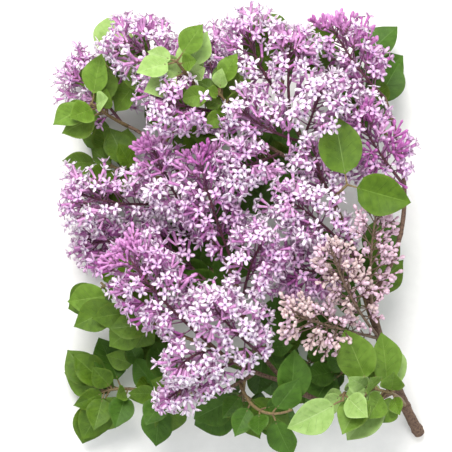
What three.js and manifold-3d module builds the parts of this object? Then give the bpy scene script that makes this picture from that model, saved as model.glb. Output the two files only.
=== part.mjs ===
// A flowering branch of a small-leaved lilac, cut from its shrub and laid down.
// Millimetres. +Z is up from the surface it lies on, +Y runs towards its flowering tips, and
// the cut foot of its stem is at low Y. The origin is under the middle of the branch.
//
// A stem and ten boughs, each one tapering limb, carry the panicles (the flower clusters) and
// the leafy shoots. Each panicle and each shoot is one fused solid that keeps to its own space.
import * as THREE from "three";
import { mergeVertices } from "three/addons/utils/BufferGeometryUtils.js";
import Module from "manifold-3d";

const wasm = await Module();
wasm.setup();

// ---- Driving dimensions ----------------------------------------------------------------------

const CLEARANCE = 0.3; // between a limb and what grows from it
const PAIR_GAP = 12.4; // between two pairs of sprays along a panicle's axis
const BARE_SHARE = 0.16; // of a panicle's axis, at its foot
const SPRAY_TRIES = [1, 0.8, 0.6]; // of a spray's reach, the longest that fits is grown
const RACHIS_RADII = [1.1, 0.6];
const SHOOT_RADII = [1.3, 0.8];
const PETIOLE_RADII = [0.8, 0.8];
const PETIOLE_LENGTH = 7;

const FLORET = { rootRadius: 0.7, throatRadius: 1.5, notchRadius: 2.3, petalReach: 5.4 };
const BUD = { rootRadius: 0.7, headRadius: 1.9, headShare: 0.78 };
const LEAF = { widthShare: 0.74, thickness: 0.9, fold: 0.2, droop: 0.1, stations: [0.14, 0.42, 0.77] };
const SMOOTHING = 0.25; // the furthest that a fused mass is simplified

// Limbs: where each one starts, on its parent at a share of the parent's length, where its tip
// is, how far its middle bows from the straight line, and its radii at foot and tip.
const FOOT = [134, -143.5, 6];
const LIMBS = [
  { name: "main_stem", tip: [95, -48, 60], bow: [-2, -5, 0], radii: [3.8, 2.6], sides: 8 },
  { name: "bough_low", parent: "main_stem", at: 0.4, tip: [40, -103, 66], bow: [0, -14, 0], radii: [2.2, 1.7] },
  { name: "bough_front", parent: "bough_low", at: 1, tip: [-12, -75, 88], bow: [-3, -3, 0], radii: [1.5, 1.2] },
  { name: "bough_centre", parent: "bough_low", at: 1, tip: [5, -25, 74], bow: [-6, -7, 0], radii: [1.5, 1.2] },
  { name: "bough_right", parent: "main_stem", at: 1, tip: [60, 35, 78], bow: [5, -4, 0], radii: [2.0, 1.5] },
  { name: "bough_far_right", parent: "main_stem", at: 1, tip: [105, 85, 62], bow: [18, -8, 0], radii: [1.8, 1.2] },
  { name: "bough_top", parent: "bough_right", at: 1, tip: [33, 87, 84], bow: [1, -1, 0], radii: [1.4, 1.1] },
  { name: "bough_upper_left", parent: "bough_right", at: 1, tip: [-20, 91, 74], bow: [-1, -5, 0], radii: [1.4, 1.1] },
  { name: "bough_left", parent: "bough_centre", at: 0.8, tip: [-31, 17, 46], bow: [3, 4, 0], radii: [1.3, 1.1] },
  { name: "bough_far_left", parent: "bough_left", at: 0.7, tip: [-70, 69, 36], bow: [5, 10, 0], radii: [1.2, 1.1] },
  { name: "bough_low_left", parent: "bough_front", at: 0.35, tip: [-48, -114, 24], bow: [0, -9, 0], radii: [1.3, 1.1] },
];

// Panicles: the limb each one grows from and where on it, the place of its tip, how wide it is,
// and how far its florets have opened.
const PANICLES = [
  { name: "panicle_front_left", limb: "bough_front", at: 1, tip: [-64, -18, 100], width: 58, stage: "young" },
  { name: "panicle_low_centre", limb: "bough_centre", at: 0.3, tip: [-8, -51, 116], width: 54, stage: "open" },
  { name: "panicle_low_front", limb: "bough_front", at: 0.6, tip: [-38, -112, 92], width: 34, stage: "open" },
  { name: "panicle_centre", limb: "bough_centre", at: 1, tip: [-17, 43, 90], width: 56, stage: "young" },
  { name: "panicle_centre_right", limb: "bough_centre", at: 0.7, tip: [24, -9, 108], width: 52, stage: "open" },
  { name: "panicle_centre_left", limb: "bough_centre", at: 0.6, tip: [-46, -8, 56], width: 52, stage: "open" },
  { name: "panicle_right", limb: "bough_right", at: 0.35, tip: [40, 16, 102], width: 56, stage: "open" },
  { name: "panicle_upper_right", limb: "bough_top", at: 0.4, tip: [62, 88, 102], width: 56, stage: "open" },
  { name: "panicle_upper_centre", limb: "bough_top", at: 0.4, tip: [8, 76, 100], width: 56, stage: "open" },
  { name: "panicle_top", limb: "bough_top", at: 1, tip: [12, 130, 90], width: 54, stage: "open" },
  { name: "panicle_top_right", limb: "bough_far_right", at: 1, tip: [70, 131, 70], width: 54, stage: "young" },
  { name: "panicle_right_inner", limb: "bough_right", at: 0.8, tip: [56, 52, 94], width: 46, stage: "open" },
  { name: "panicle_right_edge", limb: "bough_far_right", at: 0.62, tip: [86, 70, 88], width: 54, stage: "open" },
  { name: "panicle_upper_mid", limb: "bough_upper_left", at: 0.75, tip: [-38, 78, 104], width: 48, stage: "open" },
  { name: "panicle_top_mid", limb: "bough_upper_left", at: 0.75, tip: [-13, 122, 62], width: 50, stage: "open" },
  { name: "panicle_top_left", limb: "bough_upper_left", at: 1, tip: [-68, 122, 62], width: 56, stage: "open" },
  { name: "panicle_corner_left", limb: "bough_far_left", at: 1, tip: [-99, 104, 26], width: 52, stage: "open" },
  { name: "panicle_low_mid", limb: "bough_front", at: 0.85, tip: [-30, -90, 112], width: 44, stage: "open" },
  { name: "panicle_left", limb: "bough_left", at: 1, tip: [-98, 22, 48], width: 54, stage: "open" },
  { name: "panicle_left_upper", limb: "bough_left", at: 0.6, tip: [-48, 52, 84], width: 48, stage: "young" },
  { name: "panicle_middle", limb: "bough_upper_left", at: 0.3, tip: [8, 38, 104], width: 52, stage: "open" },
  { name: "panicle_bud_right", limb: "main_stem", at: 0.9, tip: [96, 8, 104], width: 40, stage: "bud" },
  { name: "panicle_bud_up", limb: "main_stem", at: 0.75, tip: [66, -14, 124], width: 42, stage: "bud" },
  { name: "panicle_bud_low", limb: "main_stem", at: 0.75, tip: [42, -56, 118], width: 44, stage: "bud" },
  { name: "panicle_left_low", limb: "bough_left", at: 0.5, tip: [-96, -12, 24], width: 48, stage: "open" },
  { name: "panicle_right_low", limb: "bough_right", at: 0.15, tip: [44, -28, 80], width: 50, stage: "open" },
  { name: "panicle_top_inner", limb: "bough_top", at: 0.7, tip: [42, 118, 104], width: 46, stage: "open" },
];

// Leafy shoots: the limb each one grows from and where on it, the place of its tip, its longest
// leaf, and how many pairs of leaves it has.
const SHOOTS = [
  { name: "leaves_foot", limb: "main_stem", at: 0.25, tip: [92, -106, 78], bow: [4, 3, 12], leaf: 36, pairs: 2 },
  { name: "leaves_foot_front", limb: "bough_low", at: 0.42, tip: [76, -114, 86], bow: [-2, 8, 9.5], leaf: 35, pairs: 1 },
  { name: "leaves_low_front", limb: "bough_low_left", at: 0.15, tip: [43, -119, 90], bow: [-4, -9, 4], leaf: 38, pairs: 1 },
  { name: "leaves_low_centre", limb: "bough_low_left", at: 0.1, tip: [12, -121, 56], leaf: 36, pairs: 3 },
  { name: "leaves_bottom", limb: "bough_low_left", at: 0.45, tip: [-44, -113, 44], leaf: 34, pairs: 2 },
  { name: "leaves_low_left", limb: "bough_low_left", at: 1, tip: [-88, -114, 24], leaf: 36, pairs: 3 },
  { name: "leaves_low_right", limb: "main_stem", at: 0.5, tip: [56, -90, 28], leaf: 38, pairs: 3 },
  { name: "leaves_low_back", limb: "bough_low_left", at: 0.7, tip: [-66, -88, 22], leaf: 36, pairs: 3 },
  { name: "leaves_left_low", limb: "bough_front", at: 0.9, tip: [-84, -38, 46], leaf: 34, pairs: 3 },
  { name: "leaves_left", limb: "bough_far_left", at: 0.3, tip: [-92, 46, 16], leaf: 32, pairs: 3 },
  { name: "leaves_corner_left", limb: "bough_far_left", at: 0.95, tip: [-90, 82, 58], leaf: 30, pairs: 2 },
  { name: "leaves_top_left", limb: "bough_upper_left", at: 0.97, tip: [-84, 110, 24], leaf: 32, pairs: 3 },
  { name: "leaves_top_front", limb: "bough_upper_left", at: 0.9, tip: [-32, 106, 106], leaf: 28, pairs: 2 },
  { name: "leaves_upper_mid", limb: "bough_upper_left", at: 0.55, tip: [-6, 88, 96], leaf: 24, pairs: 2 },
  { name: "leaves_top", limb: "bough_top", at: 0.9, tip: [42, 118, 72], leaf: 32, pairs: 3 },
  { name: "leaves_right", limb: "bough_right", at: 0.82, tip: [78, 27, 106], bow: [-2, -2, 6], leaf: 43, pairs: 1 },
  { name: "leaves_centre_back", limb: "bough_right", at: 0.55, tip: [22, 48, 40], leaf: 38, pairs: 3 },
  { name: "leaves_low_middle", limb: "bough_centre", at: 0.45, tip: [34, -82, 36], leaf: 36, pairs: 4 },
  { name: "leaves_right_low", limb: "main_stem", at: 0.74, tip: [87, -18, 35], leaf: 36, pairs: 3 },
  { name: "leaves_right_top", limb: "bough_far_right", at: 0.75, tip: [88, 112, 26], leaf: 34, pairs: 3 },
  { name: "leaves_centre_inner", limb: "bough_centre", at: 0.6, tip: [-18, -10, 34], leaf: 36, pairs: 4 },
  { name: "leaves_left_back", limb: "bough_far_left", at: 0.6, tip: [-28, 74, 28], leaf: 36, pairs: 3 },
];

// ---- Materials -------------------------------------------------------------------------------

const MATERIALS = {
  bark: new THREE.MeshStandardMaterial({ color: 0x5b4638, roughness: 0.8, metalness: 0 }),
  blossom: new THREE.MeshStandardMaterial({ color: 0xcfa3d2, roughness: 0.6, metalness: 0 }),
  bud: new THREE.MeshStandardMaterial({ color: 0xc792a6, roughness: 0.6, metalness: 0 }),
  leaf: new THREE.MeshStandardMaterial({ color: 0x6a9a3c, roughness: 0.5, metalness: 0 }),
};

// ---- Small tools -----------------------------------------------------------------------------

const UP = new THREE.Vector3(0, 0, 1);
const ALONG = new THREE.Vector3(0, 1, 0);

// A repeatable stream of numbers from 0 to 1.
function seeded(seed) {
  let state = seed >>> 0;
  return () => {
    state = (Math.imul(state, 1664525) + 1013904223) >>> 0;
    return state / 4294967296;
  };
}

// A number from -size to size.
function spread(draw, size) {
  return (2 * draw() - 1) * size;
}

// The direction across `axis` that is nearest to `wanted`.
function across(axis, wanted) {
  const made = wanted.clone().addScaledVector(axis, -wanted.dot(axis));
  if (made.length() < 0.2) {
    return across(axis, ALONG);
  }
  return made.normalize();
}

// `first` turned by an angle towards `second`, which lies square to it.
function turned(first, second, angle) {
  const made = first.clone().multiplyScalar(Math.cos(angle));
  return made.addScaledVector(second, Math.sin(angle));
}

// A closed geometry as a solid, with its shared corners merged and its empty faces left out.
function solidOf(geometry) {
  const bare = geometry.clone();
  bare.deleteAttribute("normal");
  bare.deleteAttribute("uv");
  const merged = mergeVertices(bare, 1e-4);
  const corners = [];
  for (let i = 0; i < merged.index.count; i += 3) {
    const [a, b, c] = [0, 1, 2].map((k) => merged.index.getX(i + k));
    if (a !== b && b !== c && c !== a) {
      corners.push(a, b, c);
    }
  }
  const vertProperties = merged.attributes.position.array;
  return new wasm.Manifold(new wasm.Mesh({ numProp: 3, vertProperties, triVerts: new Uint32Array(corners) }));
}

function geometryOf(solid) {
  const { vertProperties, triVerts } = solid.getMesh();
  return new THREE.BufferGeometry()
    .setAttribute("position", new THREE.BufferAttribute(vertProperties, 3))
    .setIndex(new THREE.BufferAttribute(triVerts, 1));
}

// The biggest piece of a solid: a scrap is dropped, and a sealed hollow is filled.
function biggestPiece(solid) {
  return solid.decompose().reduce((best, piece) => (piece.volume() > best.volume() ? piece : best));
}

function facesGeometry(points, faces) {
  const position = new Float32Array(points.flatMap((p) => p.toArray()));
  return new THREE.BufferGeometry()
    .setAttribute("position", new THREE.BufferAttribute(position, 3))
    .setIndex(faces.flat());
}

// ---- Limbs -----------------------------------------------------------------------------------

function bowedCurve(start, tip, bow) {
  const control = start.clone().add(tip).multiplyScalar(0.5).addScaledVector(bow, 2);
  return new THREE.QuadraticBezierCurve3(start, control, tip);
}

// A closed tapering limb: a cylinder whose rings are carried along the curve.
function limbSolid(curve, radii, sides, steps, grow = 0) {
  const geometry = new THREE.CylinderGeometry(1, 1, 1, sides, steps);
  const position = geometry.attributes.position;
  for (let i = 0; i < position.count; i += 1) {
    const share = position.getY(i) + 0.5;
    const tangent = curve.getTangent(share);
    const side = across(tangent, UP);
    const other = side.clone().cross(tangent);
    const radius = THREE.MathUtils.lerp(radii[0], radii[1], share) + grow;
    const overrun = grow * (Math.round(share) === share ? 2 * share - 1 : 0);
    const place = curve.getPoint(share).addScaledVector(tangent, overrun);
    place.addScaledVector(side, position.getX(i) * radius);
    place.addScaledVector(other, position.getZ(i) * radius);
    position.setXYZ(i, place.x, place.y, place.z);
  }
  return solidOf(geometry);
}

const limbs = new Map(); // name to its curve, radii, solid and grown solid
const grownFrom = new Map(); // parent's name to the grown solids of what starts on it

// The solid of something that starts inside its parent, cut clear of the parent and of the
// limbs that start near it.
function seated(raw, parentName) {
  const neighbours = [limbs.get(parentName).grown, ...(grownFrom.get(parentName) ?? [])];
  return biggestPiece(neighbours.reduce((left, grown) => left.subtract(grown), raw));
}

function rememberOn(parentName, grown) {
  grownFrom.set(parentName, [...(grownFrom.get(parentName) ?? []), grown]);
}

function makeLimb({ name, parent, at, tip, bow, radii, sides = 6 }) {
  const start = parent ? limbs.get(parent).curve.getPoint(at) : new THREE.Vector3(...FOOT);
  const curve = bowedCurve(start, new THREE.Vector3(...tip), new THREE.Vector3(...bow));
  const steps = Math.max(4, Math.round(curve.getLength() / 16));
  const raw = limbSolid(curve, radii, sides, steps);
  const grown = limbSolid(curve, radii, sides, steps, CLEARANCE);
  const solid = parent ? seated(raw, parent) : raw;
  if (parent) {
    rememberOn(parent, grown);
  }
  limbs.set(name, { curve, radii, solid, grown });
}

// ---- Florets, buds and leaves ------------------------------------------------------------------

// One floret along +Z: a slim tube that widens to four petals laid out as a cross.
function floretGeometry(length) {
  const { rootRadius, throatRadius, notchRadius, petalReach } = FLORET;
  const points = [];
  const ring = (radius, turn, height) => {
    const first = points.length;
    for (let k = 0; k < 4; k += 1) {
      const angle = ((k + turn) * Math.PI) / 2;
      points.push(new THREE.Vector3(radius * Math.cos(angle), radius * Math.sin(angle), height));
    }
    return first;
  };
  const root = ring(rootRadius, 0.5, 0);
  const notch = ring(notchRadius, 0.5, length - 0.3);
  const under = ring(throatRadius, 0, length - 1.6);
  const petal = ring(petalReach, 0, length);
  const eye = points.push(new THREE.Vector3(0, 0, length - 1.4)) - 1;
  const faces = [
    [root, root + 2, root + 1],
    [root, root + 3, root + 2],
  ];
  for (let k = 0; k < 4; k += 1) {
    const last = (k + 3) % 4;
    faces.push([root + last, root + k, under + k]);
    faces.push([root + last, under + k, notch + last]);
    faces.push([root + k, notch + k, under + k]);
    faces.push([notch + last, under + k, petal + k]);
    faces.push([under + k, notch + k, petal + k]);
    faces.push([eye, notch + last, petal + k]);
    faces.push([eye, petal + k, notch + k]);
  }
  return facesGeometry(points, faces);
}

// One closed bud along +Z: a club with its head near the far end.
function budGeometry(length) {
  const profile = [
    new THREE.Vector2(0, 0),
    new THREE.Vector2(BUD.rootRadius, 0),
    new THREE.Vector2(BUD.headRadius, length * BUD.headShare),
    new THREE.Vector2(0, length),
  ];
  return new THREE.LatheGeometry(profile, 4).rotateX(Math.PI / 2);
}

// Half the width of a broad oval leaf, as a share of its full width, at a share of its length.
function leafHalfWidth(share) {
  return 0.5 * Math.sin(Math.PI * share ** 0.82) ** 0.62;
}

// One leaf along +Y with its upper side towards +Z: folded up along the midrib, its tip
// drooping, thickest at the midrib and sharp at the rim.
function leafGeometry(length) {
  const rise = (share, half) => half * LEAF.fold - LEAF.droop * length * share * share;
  const points = [new THREE.Vector3(0, 0, 0), new THREE.Vector3(0, length, rise(1, 0))];
  const rows = LEAF.stations.map((share) => {
    const half = leafHalfWidth(share) * LEAF.widthShare * length;
    const y = share * length;
    const first = points.length;
    points.push(new THREE.Vector3(-half, y, rise(share, half)));
    points.push(new THREE.Vector3(half, y, rise(share, half)));
    points.push(new THREE.Vector3(0, y, rise(share, 0)));
    points.push(new THREE.Vector3(0, y, rise(share, 0) - LEAF.thickness));
    return { left: first, right: first + 1, mid: first + 2, under: first + 3 };
  });
  const ends = { left: 0, right: 0, mid: 0, under: 0 };
  const tip = { left: 1, right: 1, mid: 1, under: 1 };
  const all = [ends, ...rows, tip];
  const faces = [];
  const addFace = (...corners) => {
    if (new Set(corners).size === 3) {
      faces.push(corners);
    }
  };
  for (let i = 0; i + 1 < all.length; i += 1) {
    const [a, b] = [all[i], all[i + 1]];
    addFace(a.mid, b.mid, b.left);
    addFace(a.mid, b.left, a.left);
    addFace(a.mid, b.right, b.mid);
    addFace(a.mid, a.right, b.right);
    addFace(a.under, b.left, b.under);
    addFace(a.under, a.left, b.left);
    addFace(a.under, b.under, b.right);
    addFace(a.under, b.right, a.right);
  }
  return facesGeometry(points, faces);
}

// A geometry placed with its own X, Y and Z along three given directions.
function placed(geometry, x, y, z, origin) {
  const frame = new THREE.Matrix4().makeBasis(x, y, z).setPosition(origin);
  return solidOf(geometry.applyMatrix4(frame));
}

// ---- Masses: panicles and leafy shoots ---------------------------------------------------------

const masses = []; // each with its name, stem curve, width, parts and boxes

// What stands in the way of a mass: the limbs, and the parts of the other masses.
function touchesOthers(solid, owner) {
  const mine = boxOf(solid).expandByScalar(CLEARANCE);
  const near = ({ box, solid: other }) => mine.intersectsBox(box) && solid.minGap(other, CLEARANCE) < CLEARANCE;
  return obstacles.some((o) => o.owner !== owner && near(o));
}

function boxOf(solid) {
  const { min, max } = solid.boundingBox();
  return new THREE.Box3(new THREE.Vector3(...min), new THREE.Vector3(...max));
}

const obstacles = [];

function addPart(owner, solid) {
  owner.parts.push(solid);
  obstacles.push({ owner, solid, box: boxOf(solid) });
}

// Distance from a point to a mass's stem, as a share of how wide the mass is.
function depthIn(mass, point) {
  const chord = new THREE.Line3(mass.curve.v0, mass.curve.v2);
  const nearest = chord.closestPointToPoint(point, true, new THREE.Vector3());
  return nearest.distanceTo(point) / mass.width;
}

// Whether a point lies in a panicle's own space: nearer to its axis than to any other's.
function inOwnSpace(mass, point) {
  const own = depthIn(mass, point);
  return masses.every((other) => other === mass || other.kind !== "panicle" || depthIn(other, point) > own);
}

function startMass(kind, spec, seed, radii, width) {
  const draw = seeded(seed);
  const start = limbs.get(spec.limb).curve.getPoint(spec.at);
  const tip = new THREE.Vector3(...spec.tip);
  const sag = start.distanceTo(tip) * 0.08;
  const bow = spec.bow ?? [spread(draw, sag), spread(draw, sag), sag / 2];
  const curve = bowedCurve(start, tip, new THREE.Vector3(...bow));
  const mass = { kind, ...spec, width, curve, draw, parts: [] };
  const raw = limbSolid(curve, radii, 4, 3);
  addPart(mass, seated(raw, spec.limb));
  rememberOn(spec.limb, limbSolid(curve, radii, 4, 3, CLEARANCE));
  masses.push(mass);
  return mass;
}

// How far a panicle's sprays reach from its axis, as a share of half its width.
function panicleProfile(share) {
  return ((1 - share) ** 0.6 * (0.75 + 0.9 * share)) / 0.83;
}

// The sprays of a panicle in crossed pairs, each leaning less towards the tip, and one at the tip.
function sprays(panicle) {
  const { curve, width, draw } = panicle;
  const length = curve.getLength();
  const pairs = Math.round((length * (1 - BARE_SHARE)) / PAIR_GAP);
  const made = [];
  for (let i = 0; i < pairs; i += 1) {
    const share = i / pairs;
    const place = BARE_SHARE + (1 - BARE_SHARE) * share;
    const tangent = curve.getTangent(place);
    const side = across(tangent, UP);
    const other = side.clone().cross(tangent);
    for (const half of [0, 1]) {
      const angle = ((i + 2 * half + 0.5) * Math.PI) / 2 + spread(draw, 0.4);
      const lean = THREE.MathUtils.degToRad(72 - 34 * share + spread(draw, 9));
      const reach = (width / 2) * panicleProfile(share) * (1 - 0.22 * draw());
      const outward = turned(side, other, angle);
      made.push({
        share,
        start: curve.getPoint(place),
        direction: turned(tangent, outward, lean),
        length: reach / Math.sin(lean),
      });
    }
  }
  const tipStart = curve.getPoint(0.9);
  made.push({ share: 1, start: tipStart, direction: curve.getTangent(1), length: 0.1 * length + 8 });
  return made;
}

// A spray at a length, if that keeps it above the ground, in its panicle's space and clear of the rest.
function fittingSpray(panicle, spray, length) {
  const end = spray.start.clone().addScaledVector(spray.direction, length);
  const side = across(spray.direction, UP);
  const closed = panicle.stage === "bud" || (panicle.stage === "young" && spray.share > 0.7);
  const geometry = closed ? budGeometry(length) : floretGeometry(length);
  const other = spray.direction.clone().cross(side);
  const solid = placed(geometry, side, other, spray.direction, spray.start);
  const fits = boxOf(solid).min.z > 0 && inOwnSpace(panicle, end) && !touchesOthers(solid, panicle);
  return fits ? solid : null;
}

function fillPanicle(panicle) {
  for (const spray of sprays(panicle)) {
    for (const share of SPRAY_TRIES) {
      const solid = fittingSpray(panicle, spray, spray.length * share);
      if (solid) {
        addPart(panicle, solid);
        break;
      }
    }
  }
}

// Leaves in opposite pairs, spread to both sides of the shoot with their upper sides to the light.
function fillShoot(shoot) {
  const { curve, leaf, pairs, draw } = shoot;
  for (let i = 0; i < pairs; i += 1) {
    const share = 0.96 - (0.62 * i) / Math.max(pairs, 2);
    const tangent = curve.getTangent(share);
    const sideways = across(tangent, UP).cross(tangent);
    const start = curve.getPoint(share);
    for (const hand of [-1, 1]) {
      const lean = THREE.MathUtils.degToRad(52 + 18 * draw());
      const outward = turned(sideways.clone().multiplyScalar(hand), UP, spread(draw, 0.45));
      const direction = turned(tangent, across(tangent, outward), lean);
      const facing = across(direction, UP);
      const tilt = turned(facing, direction.clone().cross(facing), spread(draw, 0.5));
      const length = leaf * (1 - 0.22 * draw());
      const foot = start.clone().addScaledVector(direction, PETIOLE_LENGTH);
      const seat = start.clone().addScaledVector(direction, PETIOLE_LENGTH + 4);
      const blade = placed(leafGeometry(length), direction.clone().cross(tilt), direction, tilt, foot);
      const stalk = limbSolid(bowedCurve(start, seat, new THREE.Vector3()), PETIOLE_RADII, 3, 1);
      if (boxOf(blade).min.z > 0 && !touchesOthers(blade, shoot) && !touchesOthers(stalk, shoot)) {
        addPart(shoot, blade);
        addPart(shoot, stalk);
      }
    }
  }
}

// ---- The branch ------------------------------------------------------------------------------

LIMBS.forEach(makeLimb);
limbs.forEach(({ solid }, name) => obstacles.push({ owner: name, solid, box: boxOf(solid) }));

const panicles = PANICLES.map((spec, i) => startMass("panicle", spec, 101 + i, RACHIS_RADII, spec.width));
const shoots = SHOOTS.map((spec, i) => startMass("shoot", spec, 201 + i, SHOOT_RADII, 2 * spec.leaf));
shoots.forEach(fillShoot);
panicles.forEach(fillPanicle);

const branch = new THREE.Group();

function addNode(name, solid, material) {
  const mesh = new THREE.Mesh(geometryOf(solid), material);
  mesh.name = name;
  branch.add(mesh);
}

limbs.forEach(({ solid }, name) => addNode(name, solid, MATERIALS.bark));
for (const mass of masses) {
  const fused = biggestPiece(wasm.Manifold.union(mass.parts).asOriginal().simplify(SMOOTHING));
  const closed = mass.stage === "bud" ? MATERIALS.bud : MATERIALS.blossom;
  addNode(mass.name, fused, mass.kind === "shoot" ? MATERIALS.leaf : closed);
}

// The branch rests on Z 0, centred over its origin.
const extent = new THREE.Box3().setFromObject(branch);
const middle = extent.getCenter(new THREE.Vector3());
branch.position.set(-middle.x, -middle.y, -extent.min.z);

export default branch;
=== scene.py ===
# %% [markdown]
# # A cut branch of flowering lilac
#
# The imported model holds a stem, ten boughs and forty-nine masses: flower panicles and leafy
# shoots. This notebook dresses them. The limbs get bark with relief, and every mass is grown
# again by the rule that made its solid, with finer twigs, whole florets and veined leaves.
# Lengths are millimetres, and they turn to Blender's metres where an object is made.

import math
from itertools import product

import bpy
import numpy as np
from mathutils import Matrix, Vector, noise
from mathutils.bvhtree import BVHTree


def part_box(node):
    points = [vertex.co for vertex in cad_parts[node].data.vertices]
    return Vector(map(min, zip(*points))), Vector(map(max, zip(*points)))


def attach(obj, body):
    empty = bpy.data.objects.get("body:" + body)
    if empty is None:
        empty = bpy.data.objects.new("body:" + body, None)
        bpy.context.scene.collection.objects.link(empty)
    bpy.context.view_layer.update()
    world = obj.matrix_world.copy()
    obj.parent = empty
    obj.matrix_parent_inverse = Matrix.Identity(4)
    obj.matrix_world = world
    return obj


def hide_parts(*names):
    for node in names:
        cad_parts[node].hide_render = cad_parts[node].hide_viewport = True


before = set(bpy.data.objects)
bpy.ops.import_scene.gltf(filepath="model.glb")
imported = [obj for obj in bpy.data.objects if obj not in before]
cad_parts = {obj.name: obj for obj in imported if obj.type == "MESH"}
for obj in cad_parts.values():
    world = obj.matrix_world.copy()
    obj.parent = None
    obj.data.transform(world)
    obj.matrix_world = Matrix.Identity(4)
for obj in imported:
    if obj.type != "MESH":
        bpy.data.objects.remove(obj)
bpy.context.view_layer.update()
MM = 0.001

# %% [markdown]
# ## How the solids grew
#
# A lilac branch is a few bowed limbs that carry many masses of flowers and leaves. It could be
# drawn by hand, curve by curve, but it has hundreds of twigs. Here tables say where each limb
# and each mass stands, and short rules with seeded numbers grow the rest, so every run grows
# the same branch. The tables repeat the solids', because a fine twig looks right only where
# its rough solid already is.

# %% Seeded numbers and directions
UP = np.array([0.0, 0.0, 1.0])
ALONG = np.array([0.0, 1.0, 0.0])


class Draw:
    """A repeatable stream of numbers from 0 to 1, by a 32-bit congruential rule."""

    def __init__(self, seed):
        self.state = seed

    def __call__(self):
        self.state = (self.state * 1664525 + 1013904223) % 2**32
        return self.state / 2**32

    def spread(self, size):
        return (2 * self() - 1) * size


def unit(vector):
    return vector / np.linalg.norm(vector)


def across(axis, wanted):
    """The direction square to an axis that is nearest to the wanted one."""
    made = wanted - axis * (wanted @ axis)
    return across(axis, ALONG) if np.linalg.norm(made) < 0.2 else unit(made)


def turned(first, second, angle):
    """The first direction turned by an angle towards the second, which is square to it."""
    return first * math.cos(angle) + second * math.sin(angle)


test_draw = Draw(1)
print("seed 1 draws", round(test_draw(), 3), "and then", round(test_draw(), 3))

# %% [markdown]
# Each limb and each stem is one bowed curve from where it starts to its tip. A list of points
# could say the same, but a bow is a single one, and it keeps every limb smooth.

# %% A bowed curve
class Bow:
    """A curve from start to tip whose middle stands off the straight line by a bow."""

    def __init__(self, start, tip, bow=(0, 0, 0)):
        self.start, self.tip = np.array(start, float), np.array(tip, float)
        self.control = (self.start + self.tip) / 2 + 2 * np.array(bow, float)
        steps = self.at(np.linspace(0, 1, 101))
        self.length = np.linalg.norm(np.diff(steps, axis=0), axis=1).sum()

    def at(self, share):
        t = np.asarray(share, float)[..., None]
        return self.start * (1 - t) ** 2 + self.control * 2 * t * (1 - t) + self.tip * t**2

    def tangent(self, share):
        ahead = (self.control - self.start) * (1 - share) + (self.tip - self.control) * share
        return unit(ahead)


test_bow = Bow((0, 0, 0), (10, 0, 0), (0, 2, 0))
print("a 10 mm bow of 2 mm is", round(test_bow.length, 2), "mm long")

# %% [markdown]
# ## The limbs' places
#
# On the real branch every limb springs from a thicker one. So a limb starts on its parent, at
# a share of the parent's length, and stays on it when the parent is moved. The foot of the
# main stem is where the branch was cut. The radii are at the foot and the tip of each limb.

# %% Limb table
FOOT = (134, -143.5, 6)
LIMBS = [
    # name, parent, share of parent, tip, bow, radii
    ("main_stem", None, 0, (95, -48, 60), (-2, -5, 0), (3.8, 2.6)),
    ("bough_low", "main_stem", 0.4, (40, -103, 66), (0, -14, 0), (2.2, 1.7)),
    ("bough_front", "bough_low", 1, (-12, -75, 88), (-3, -3, 0), (1.5, 1.2)),
    ("bough_centre", "bough_low", 1, (5, -25, 74), (-6, -7, 0), (1.5, 1.2)),
    ("bough_right", "main_stem", 1, (60, 35, 78), (5, -4, 0), (2.0, 1.5)),
    ("bough_far_right", "main_stem", 1, (105, 85, 62), (18, -8, 0), (1.8, 1.2)),
    ("bough_top", "bough_right", 1, (33, 87, 84), (1, -1, 0), (1.4, 1.1)),
    ("bough_upper_left", "bough_right", 1, (-20, 91, 74), (-1, -5, 0), (1.4, 1.1)),
    ("bough_left", "bough_centre", 0.8, (-31, 17, 46), (3, 4, 0), (1.3, 1.1)),
    ("bough_far_left", "bough_left", 0.7, (-70, 69, 36), (5, 10, 0), (1.2, 1.1)),
    ("bough_low_left", "bough_front", 0.35, (-48, -114, 24), (0, -9, 0), (1.3, 1.1)),
]

limb_curves = {}
for name, parent, share, tip, bow, radii in LIMBS:
    start = limb_curves[parent].at(share) if parent else FOOT
    limb_curves[name] = Bow(start, tip, bow)
print({name: round(curve.length) for name, curve in limb_curves.items()})

# %% [markdown]
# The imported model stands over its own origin, so it was shifted after it grew. The shift could
# be typed in, but it would be wrong as soon as a limb changed. So it is found from the main
# stem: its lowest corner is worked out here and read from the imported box.

# %% Find the shift from growing place to packed place
STEM_SIDES = 8
STEM_RING_GAP = 16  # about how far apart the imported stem's rings are


def ring(curve, share, radius, sides):
    """The corners of one ring round a curve, as the solids have them."""
    tangent = curve.tangent(share)
    side = across(tangent, UP)
    other = np.cross(side, tangent)
    angle = 2 * np.pi * np.arange(sides) / sides
    spokes = np.outer(np.sin(angle), side) + np.outer(np.cos(angle), other)
    return curve.at(share) + radius * spokes


stem = limb_curves["main_stem"]
foot_radius, tip_radius = LIMBS[0][-1]
stem_shares = np.linspace(0, 1, round(stem.length / STEM_RING_GAP) + 1)
stem_radii = foot_radius + (tip_radius - foot_radius) * stem_shares
stem_rings = [ring(stem, share, radius, STEM_SIDES) for share, radius in zip(stem_shares, stem_radii)]
SHIFT = np.array(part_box("main_stem")[0]) / MM - np.concatenate(stem_rings).min(axis=0)
print("shift in mm:", SHIFT.round(2))

# %% [markdown]
# ## Camera
#
# The branch lies down, so the camera looks straight down on it. A camera close by would widen
# the near flowers and see the outer ones from the side. So it stands 1.2 m off, with a long
# lens worked out from what the view has to span.

# %% Camera
SENSOR_WIDTH = 36
FRONT_HEIGHT = 85  # the height of the front flowers
CAMERA_DISTANCE = 1200
VIEW_WIDTH = 293.8  # what the view spans at the front flowers' height


def placed(x, y, z):
    """A growing place in millimetres as a Blender place in metres."""
    return Vector((np.array([x, y, z], float) + SHIFT) * MM)


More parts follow.
